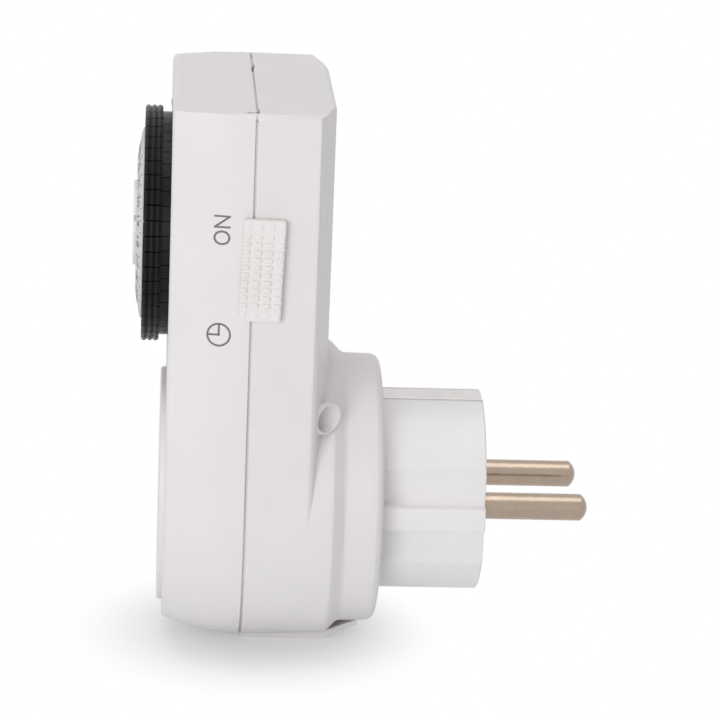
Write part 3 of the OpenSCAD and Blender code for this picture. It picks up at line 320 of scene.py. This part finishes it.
# ---------------------------------------------------------------------------
# Movement: a pressed steel plate carries the dial's arbor, the gears and the
# small synchronous motor, whose can holds a wound coil.
# ---------------------------------------------------------------------------
plate_steel = plated("plate_steel", (0.60, 0.60, 0.585), rough=0.34, mark_mm=0.24, drawn=(0.2, 1, 1))
refinish(plate_steel, "plate_steel", "movement_plate", "motor_lid", "motor_can")
steel = plated("steel", (0.62, 0.61, 0.60), rough=0.22, mark_mm=0.09)
refinish(steel, "steel", "dial_arbor", "idler_arbor", "lever_pin", "motor_pinion", "motor_screws",
         "plate_screws", "housing_screws")
gear_ivory = moulded("gear_ivory", (0.74, 0.70, 0.58), rough=0.38, spark_mm=0.4, spark_h=0.002,
                     shift=0.06)
refinish(gear_ivory, "gear_ivory", "idler_gear", "dial_gear")
spring_steel = plated("spring_steel", (0.66, 0.65, 0.63), rough=0.2, mark_mm=0.075)
refinish(spring_steel, "spring_steel", "clutch_washer", "lever_spring", "shutter_spring")
coil_red = moulded("coil_red", (0.36, 0.055, 0.03), rough=0.3, spark_mm=0.12, spark_h=0.01, shift=0.3)
refinish(coil_red, "coil_red", "motor_coil")

# ---------------------------------------------------------------------------
# Switch lever and slider: two small white acetal mouldings inside the right wall.
# The lever turns on a steel pin in the plate, and the slider holds the button's stem.
# ---------------------------------------------------------------------------
lever_white = moulded("lever_white", (0.76, 0.755, 0.74), rough=0.34, spark_mm=0.4, spark_h=0.0015)
refinish(lever_white, "lever_white", "switch_lever", "selector_slider")

# ---------------------------------------------------------------------------
# Front shell: the front half of the housing, moulded in the rear shell's white
# thermoplastic, with bowed sides, the dial's round opening, the time mark and the
# outlet's deep recess.
# ---------------------------------------------------------------------------
front = moulding_from("front_shell")
soften(front, shell_edge_r, shell_edge_steps)
fit("front_housing", front, shell_white, "root", "shell_white", "front_shell", smooth=shell_smooth)

# ---------------------------------------------------------------------------
# Printed marks: ON and a clock, pad printed in dark grey ink beside the
# selector. The ink lies on the bowed side of the front shell.
# ---------------------------------------------------------------------------
side_x, bow_r = 27.0, 33.0
ink_t = 0.02


def ink(name, colour, rough=0.55):
    """Pad-printing ink: a matt film with pinholes and an uneven coat."""
    finish, tree, shader, where = new_finish(name)
    coat = grain(tree, where, 0.25, detail=3)
    dark = tuple(c * 0.8 for c in colour)
    tree.links.new(two_tone(tree, between(tree, coat, 0, 1), dark, colour), shader.inputs["Base Color"])
    tree.links.new(between(tree, coat, rough - 0.1, rough + 0.1), shader.inputs["Roughness"])
    relief(tree, shader, [(coat, 0.002)])
    return finish


def lettering(word, height, width=None):
    """A word as a thin solid, centred on the origin in X and Y, in millimetres."""
    capital_share = 0.7
    curve = bpy.data.curves.new(word, "FONT")
    curve.body = word
    curve.size = height / capital_share
    curve.align_x = "CENTER"
    curve.extrude = ink_t / 2
    curve.resolution_u = 4
    text = bpy.data.objects.new(word, curve)
    bpy.context.scene.collection.objects.link(text)
    bpy.context.view_layer.update()
    shape = bpy.data.meshes.new_from_object(text.evaluated_get(bpy.context.evaluated_depsgraph_get()))
    bpy.data.objects.remove(text)
    bm = bmesh.new()
    bm.from_mesh(shape)
    bmesh.ops.remove_doubles(bm, verts=bm.verts[:], dist=0.0005)
    low = Vector([min(v.co[i] for v in bm.verts) for i in range(3)])
    high = Vector([max(v.co[i] for v in bm.verts) for i in range(3)])
    size = high - low
    taller = height / size.y
    wider = width / size.x if width else taller
    bmesh.ops.translate(bm, verts=bm.verts[:], vec=-(low + high) / 2)
    bmesh.ops.scale(bm, verts=bm.verts[:], vec=(wider, taller, 1))
    return bm


def thicken(bm, lift):
    """Gives a flat print its thickness, along a vector."""
    raised = bmesh.ops.extrude_face_region(bm, geom=bm.faces[:])["geom"]
    bmesh.ops.translate(bm, verts=[v for v in raised if isinstance(v, bmesh.types.BMVert)], vec=lift)


def print_on_side(bm, y, z):
    """Lays a flat print, read upwards with its tops to the front, on the bowed side."""
    strip_w, off_middle = 0.4, 0.013
    for step in range(-5, 6):
        bmesh.ops.bisect_plane(bm, geom=bm.verts[:] + bm.edges[:] + bm.faces[:], dist=0.0001,
                               plane_co=(0, strip_w * step + off_middle, 0), plane_no=(0, 1, 0))
    for v in bm.verts:
        across, up, out = v.co
        v.co = Vector((0, y - up, z + across))
        v.co.x = side_x - bow_r + math.sqrt(bow_r ** 2 - v.co.y ** 2) + ink_t / 2 + out
    bmesh.ops.recalc_face_normals(bm, faces=bm.faces[:])


mark_grey = ink("mark_grey", (0.19, 0.175, 0.17))
on_mark = lettering("ON", height=2.9, width=5.2)
print_on_side(on_mark, y=-5.4, z=54.1)
fit("on_mark", on_mark, mark_grey, "root", "shell_white")

clock_mark = bmesh.new()
clock_r, hand_l, stroke = 2.1, 1.75, 0.34
bmesh.ops.create_circle(clock_mark, segments=56, radius=clock_r, cap_ends=True)
face = clock_mark.faces[:]
bmesh.ops.inset_region(clock_mark, faces=face, thickness=stroke, use_boundary=True, use_even_offset=True)
bmesh.ops.delete(clock_mark, geom=face, context="FACES")
for angle in (90, 0):
    hand = bmesh.ops.create_grid(clock_mark, x_segments=1, y_segments=1, size=0.5)["verts"]
    bmesh.ops.scale(clock_mark, verts=hand, vec=(stroke, hand_l + stroke / 2, 1))
    bmesh.ops.translate(clock_mark, verts=hand, vec=(0, hand_l / 2 - stroke / 4, 0))
    bmesh.ops.rotate(clock_mark, verts=hand, cent=(0, 0, 0),
                     matrix=Matrix.Rotation(math.radians(-angle), 3, "Z"))
thicken(clock_mark, (0, 0, ink_t))
bmesh.ops.translate(clock_mark, verts=clock_mark.verts[:], vec=(0, 0, -ink_t / 2))
print_on_side(clock_mark, y=-5.5, z=35.7)
fit("clock_mark", clock_mark, mark_grey, "root", "shell_white")

# ---------------------------------------------------------------------------
# Outlet: the recess's floor in white thermoplastic, with the two pin holes and
# the slots of the earth contacts. A sprung shutter behind it closes the holes.
# ---------------------------------------------------------------------------
outlet_white = moulded("outlet_white", (0.80, 0.77, 0.768), rough=0.4)
base = moulding_from("socket_base")
soften(base, width=0.2)
fit("outlet_floor", base, outlet_white, "root", "outlet_white", "socket_base")
shutter_grey = moulded("shutter_grey", (0.47, 0.47, 0.475), spark_mm=0.3, spark_h=0.003, shift=0.08)
refinish(shutter_grey, "shutter_grey", "shutter")

# ---------------------------------------------------------------------------
# Selector: a slide button outside the housing, moulded in white thermoplastic. Its
# stem reaches the slider through a slot on the seam, and its face has four columns
# of ten grip pips.
# ---------------------------------------------------------------------------
button_white = moulded("button_white", (0.83, 0.805, 0.79), rough=0.34, spark_mm=0.2, spark_h=0.0015)
button_x0, button_x1 = 27.12, 28.62
button_y, button_z = 1.6, 47.5
button_w, button_l = 7.2, 17.8


def block(bm, low, high):
    """A block between two corners; returns its vertices."""
    made = bmesh.ops.create_cube(bm, size=1)["verts"]
    low, high = Vector(low), Vector(high)
    bmesh.ops.scale(bm, verts=made, vec=high - low)
    bmesh.ops.translate(bm, verts=made, vec=(low + high) / 2)
    return made


def pip(bm, y, z, wide, tall, rise):
    """A grip pip: a block with sloping sides and a rounded crown, sunk in the button's face."""
    sunk, slope_w, crown_r = 0.1, 0.2, 0.14
    made = block(bm, (button_x1 - sunk, y - wide / 2, z - tall / 2),
                 (button_x1 + rise, y + wide / 2, z + tall / 2))
    crown = {v for v in made if v.co.x > button_x1}
    bmesh.ops.scale(bm, verts=list(crown), vec=(1, 1 - 2 * slope_w / wide, 1 - 2 * slope_w / tall),
                    space=Matrix.Translation((0, -y, -z)))
    round_edges(bm, [e for e in bm.edges if crown & set(e.verts)], crown_r, steps=3)


button = bmesh.new()
block(button, (button_x0, button_y - button_w / 2, button_z - button_l / 2),
      (button_x1, button_y + button_w / 2, button_z + button_l / 2))
upright = [e for e in button.edges if abs((e.verts[0].co - e.verts[1].co).x) > 0.1]
round_edges(button, upright, width=0.5, steps=4)
top_rim = [e for e in button.edges if all(v.co.x > button_x1 - 0.01 for v in e.verts)]
round_edges(button, top_rim, width=0.3, steps=3)
foot_rim = [e for e in button.edges if all(v.co.x < button_x0 + 0.01 for v in e.verts)]
round_edges(button, foot_rim, width=0.12, steps=1)
pip_pitch_y, pip_pitch_z, end_pip_z = 1.92, 1.33, 7.72
for column in range(4):
    y = button_y + (column - 1.5) * pip_pitch_y
    wide = 1.5 if column in (1, 2) else 1.28
    for row in range(10):
        pip(button, y, button_z + (row - 4.5) * pip_pitch_z, wide, tall=0.98, rise=0.35)
    for end in (-1, 1):
        pip(button, y, button_z + end * end_pip_z, wide, tall=1.4, rise=0.12)
# The button sits a little askew on its stem, as the slot leaves it play.
askew = Matrix.Rotation(math.radians(-1.8), 3, "X")
bmesh.ops.rotate(button, verts=button.verts[:], cent=(0, button_y, button_z), matrix=askew)
stem_x0, stem_y0, stem_y1, stem_l = 22.6, 0.4, 3.1, 4.6
block(button, (stem_x0, stem_y0, button_z - stem_l / 2),
      (button_x0 + 0.3, stem_y1, button_z + stem_l / 2))
fit("selector_cap", button, button_white, "selector", "button_white", "selector_button")

# ---------------------------------------------------------------------------
# Dial carrier: a drum moulded in black plastic that turns once a day, with thin
# fins between the tappets' legs. It runs on the arbor and on the clutch washer.
# ---------------------------------------------------------------------------
dial_z = 48.4
carrier_black = moulded("carrier_black", (0.010, 0.010, 0.011), spark_mm=0.3, spark_h=0.004,
                        shift=0.3, gloss=0.3)
drum = moulding_from("dial_carrier")
fit("dial_drum", drum, carrier_black, "dial", "carrier_black", "dial_carrier")

# ---------------------------------------------------------------------------
# Tappets: forty-eight keys round the drum, moulded in black plastic, one for each
# half hour. Each slides 1.5 mm along the dial's axis, and three ribs give it grip.
# ---------------------------------------------------------------------------
tappet_black = moulded("tappet_black", (0.0085, 0.0075, 0.007), rough=0.33, spark_mm=0.25,
                       spark_h=0.003, shift=0.35, gloss=0.2)
tappet_pitch = 7.5
tappet_gap, fin_room = 0.16, 0.8
head_r, head_root_r, leg_r, inner_r = 20.85, 20.55, 19.7, 17.1
y_head, y_leg, y_skirt, y_leg_end = -18.8, -15.7, -13.8, -10.6
rib_l, rib_edge = (y_leg - y_head) / 3, 0.04
rib_steps = (0.0, 0.14, 0.3, 0.5, 0.7, 0.86, 1.0)


def tappet(bm, angle):
    """One tappet: a ribbed head on a wide skirt, then a narrower leg between the fins."""
    head = [(inner_r, y_skirt), (leg_r, y_skirt), (leg_r, y_leg), (head_root_r, y_leg)]
    for k in range(3):
        y = y_leg - k * rib_l
        head += [(head_root_r + (head_r - head_root_r) * math.sin(math.pi * t),
                  y - rib_l * (rib_edge + (1 - 2 * rib_edge) * t)) for t in rib_steps]
    head += [(head_root_r, y_head + 0.12), (head_root_r - 0.25, y_head), (inner_r + 0.1, y_head),
             (inner_r, y_head + 0.1)]
    leg = [(inner_r, y_leg_end), (leg_r, y_leg_end), (leg_r, y_skirt - 0.05), (inner_r, y_skirt - 0.05)]
    made = []
    for outline, room, room_r in ((head, tappet_gap, head_r), (leg, fin_room, inner_r)):
        half = math.radians(tappet_pitch) / 2 - 0.5 * room / room_r
        corners = [bm.verts.new((r, y, 0)) for r, y in outline]
        side = bm.faces.new(corners)
        bmesh.ops.rotate(bm, verts=corners, cent=(0, 0, 0), matrix=Matrix.Rotation(-half, 3, "Y"))
        bmesh.ops.spin(bm, geom=[side], cent=(0, 0, 0), axis=(0, 1, 0), angle=2 * half,
                       steps=3, use_duplicate=False, use_merge=False)
        made += [v for v in bm.verts if v not in done and v not in made]
    bmesh.ops.rotate(bm, verts=made, cent=(0, 0, 0),
                     matrix=Matrix.Rotation(math.radians(-90 - angle), 3, "Y"))
    done.update(made)


for group in range(12):
    keys = bmesh.new()
    done = set()
    for k in range(4):
        tappet(keys, (group * 4 + k + 0.5) * tappet_pitch)
    bmesh.ops.recalc_face_normals(keys, faces=keys.faces[:])
    ends = [e for e in keys.edges if e.is_manifold and e.calc_face_angle(0) > math.radians(50)
            and max(v.co.y for v in e.verts) < y_leg - 0.01]
    round_edges(keys, ends, width=0.07, steps=1)
    bmesh.ops.translate(keys, verts=keys.verts[:], vec=(0, 0, dial_z))
    hour = "%02d" % (group * 2)
    fit("tappet_keys_" + hour, keys, tappet_black, "tappets_" + hour, "tappet_black", "tappets_" + hour)

# ---------------------------------------------------------------------------
# Hour disc: a pale grey moulding on the front of the drum, with the hours printed on
# its sloping band. They run against the clock, because the dial turns with it.
# ---------------------------------------------------------------------------
y_drum, y_rim, y_cone = -18.6, -19.1, -20.0
hole_r, slope_r, rim_r = 7.6, 12.0, 16.8
disc_grey = moulded("disc_grey", (0.70, 0.695, 0.69), rough=0.5, spark_mm=0.25, spark_h=0.003)
hour_disc = turned_part([(hole_r, y_drum), (hole_r, y_cone), (slope_r - 0.15, y_cone),
                         (slope_r + 0.15, y_cone + 0.03), (rim_r - 0.15, y_rim - 0.02),
                         (rim_r, y_rim + 0.12), (rim_r, y_drum), (hole_r, y_drum)],
                        at=(0, dial_z), steps=96)
fit("hour_disc", hour_disc, disc_grey, "dial", "disc_grey", "dial_disc")

hour_ink = ink("hour_ink", (0.045, 0.045, 0.05))
slope = math.atan2(y_rim - y_cone, rim_r - slope_r)
hours = bmesh.new()


def add_to(target, source):
    """Moves one shape into another."""
    held = bpy.data.meshes.new("held")
    source.to_mesh(held)
    source.free()
    target.from_mesh(held)
    bpy.data.meshes.remove(held)


def place_round(source, radius, angle):
    """Sets a flat print on the slope, its top outwards, at a radius and an angle against the clock."""
    proud = 0.015
    y = y_cone + (radius - slope_r) * math.tan(slope) - proud
    source.transform(Matrix.Translation((0, 0, dial_z)) @ Matrix.Rotation(math.radians(-angle), 4, "Y")
                     @ Matrix.Translation((0, y, radius))
                     @ Matrix.Rotation(math.radians(90) - slope, 4, "X"))
    add_to(hours, source)


hour_turn, tick_w, tick_top = 15, 0.14, 0.45
for hour in range(24):
    place_round(lettering(str(hour or 24), height=1.75), radius=13.75, angle=hour_turn * hour)
for half_hour in range(48):
    tick = bmesh.new()
    tick_foot = -0.25 if half_hour % 2 else -0.45
    block(tick, (-tick_w / 2, tick_foot, -ink_t / 2), (tick_w / 2, tick_top, ink_t / 2))
    place_round(tick, radius=15.95, angle=hour_turn / 2 * half_hour)
# Two arrows on the flat middle show which way to turn the dial.
arrow_turn, arrow_r, arrow_w, barb_w, barb_l = math.radians(50), 9.9, 0.3, 1.6, 1.5
for start in (60, 240):
    arrow = bmesh.new()
    edge = [arrow.verts.new((0, 0, arrow_r + across * arrow_w / 2)) for across in (-1, 1)]
    bmesh.ops.spin(arrow, geom=edge + [arrow.edges.new(edge)], cent=(0, 0, 0), axis=(0, 1, 0),
                   angle=arrow_turn, steps=16, use_duplicate=False)
    tip = [arrow.verts.new((x, 0, arrow_r + across * barb_w / 2))
           for x, across in ((0, 1), (0, -1), (barb_l, 0))]
    bmesh.ops.rotate(arrow, verts=tip, cent=(0, 0, 0), matrix=Matrix.Rotation(arrow_turn, 3, "Y"))
    arrow.faces.new(tip)
    thicken(arrow, (0, -ink_t, 0))
    arrow.transform(Matrix.Translation((0, y_cone - 0.003, dial_z))
                    @ Matrix.Rotation(math.radians(start), 4, "Y"))
    bmesh.ops.recalc_face_normals(arrow, faces=arrow.faces[:])
    add_to(hours, arrow)
fit("hour_figures", hours, hour_ink, "dial", "disc_grey")

# ---------------------------------------------------------------------------
# Dial cap: a round moulding in white thermoplastic with a coin slot, pressed into
# the middle of the hour disc.
# ---------------------------------------------------------------------------
cap_white = moulded("cap_white", (0.80, 0.79, 0.78), rough=0.4, spark_mm=0.25, spark_h=0.002)
cap = moulding_from("dial_cap")
soften(cap, width=0.12)
fit("dial_button", cap, cap_white, "dial", "cap_white", "dial_cap")

# ---------------------------------------------------------------------------
# Table and light: a white table under the foot, one soft lamp before the right
# side and one overhead, and pale light from all round.
# ---------------------------------------------------------------------------
table_z = -0.02702
table = bpy.data.meshes.new("table")
sheet = bmesh.new()
bmesh.ops.create_grid(sheet, x_segments=1, y_segments=1, size=3.0)
bmesh.ops.translate(sheet, verts=sheet.verts[:], vec=(0, 0, table_z))
sheet.to_mesh(table)
sheet.free()
floor = bpy.data.objects.new("table", table)
bpy.context.scene.collection.objects.link(floor)


def from_two(tree, operation, first, second):
    """One value worked out from two."""
    node = tree.nodes.new("ShaderNodeMath")
    node.operation = operation
    tree.links.new(first, node.inputs[0])
    tree.links.new(second, node.inputs[1])
    return node.outputs["Value"]


def in_picture(tree):
    """1 for rays that come to the camera straight, mirrored or through a clear piece, and else 0."""
    rays = tree.nodes.new("ShaderNodeLightPath").outputs
    straight_or_mirrored = from_two(tree, "MAXIMUM", rays["Is Camera Ray"], rays["Is Glossy Ray"])
    return from_two(tree, "MAXIMUM", straight_or_mirrored, rays["Is Transmission Ray"])


def end_in_blend(tree, share, first, second, kind):
    """Ends a tree in a blend of two shaders, by the share of the second."""
    blend = tree.nodes.new("ShaderNodeMixShader")
    tree.links.new(share, blend.inputs["Fac"])
    tree.links.new(first, blend.inputs[1])
    tree.links.new(second, blend.inputs[2])
    tree.links.new(blend.outputs["Shader"], tree.nodes.new(kind).inputs["Surface"])


# The table shows white all round. Near the foot it is matt, so that it takes the timer's shadow.
foot_centre, shadow_r, white_r, least_white = (0.004, -0.040, -0.027), 0.010, 0.036, 0.3
table_white = bpy.data.materials.new("table_white")
table_white.use_nodes = True
tree = table_white.node_tree
tree.nodes.clear()
matt = tree.nodes.new("ShaderNodeBsdfDiffuse")
matt.inputs["Color"].default_value = (0.92, 0.935, 0.96, 1)
bright = tree.nodes.new("ShaderNodeEmission")
bright.inputs["Color"].default_value = (1, 1, 1, 1)
bright.inputs["Strength"].default_value = 1.0
from_foot = tree.nodes.new("ShaderNodeVectorMath")
from_foot.operation = "SUBTRACT"
from_foot.inputs[1].default_value = foot_centre
reach = tree.nodes.new("ShaderNodeVectorMath")
reach.operation = "LENGTH"
tree.links.new(tree.nodes.new("ShaderNodeTexCoord").outputs["Object"], from_foot.inputs[0])
tree.links.new(from_foot.outputs["Vector"], reach.inputs[0])
fade = between(tree, reach.outputs["Value"], least_white, 1.0, shadow_r, white_r, "SMOOTHSTEP")
share = from_two(tree, "MULTIPLY", in_picture(tree), fade)
end_in_blend(tree, share, matt.outputs["BSDF"], bright.outputs["Emission"], "ShaderNodeOutputMaterial")
table.materials.append(table_white)

# The room lights the timer softly, and shows as white in the picture.
room = bpy.data.worlds.new("room")
room.use_nodes = True
bpy.context.scene.world = room
tree = room.node_tree
tree.nodes.clear()
soft = tree.nodes.new("ShaderNodeBackground")
white = tree.nodes.new("ShaderNodeBackground")
for glow, strength in ((soft, 0.44), (white, 1.0)):
    glow.inputs["Color"].default_value = (1, 1, 1, 1)
    glow.inputs["Strength"].default_value = strength
end_in_blend(tree, in_picture(tree), soft.outputs["Background"], white.outputs["Background"],
             "ShaderNodeOutputWorld")


def lamp(name, place, size, watts):
    """A soft square lamp that looks at the middle of the housing."""
    aim = Vector((0, -0.03, 0.02))
    light = bpy.data.lights.new(name, "AREA")
    light.shape = "SQUARE"
    light.size = size
    light.energy = watts
    stand = bpy.data.objects.new(name, light)
    bpy.context.scene.collection.objects.link(stand)
    turn = (aim - Vector(place)).to_track_quat("-Z", "Y")
    stand.matrix_world = Matrix.Translation(place) @ turn.to_matrix().to_4x4()


lamp("side_lamp", (0.74, -0.34, 0.17), size=0.38, watts=2.45)
lamp("top_lamp", (0.05, -0.10, 0.85), size=0.7, watts=2.3)
bpy.context.scene.view_settings.view_transform = "Standard"
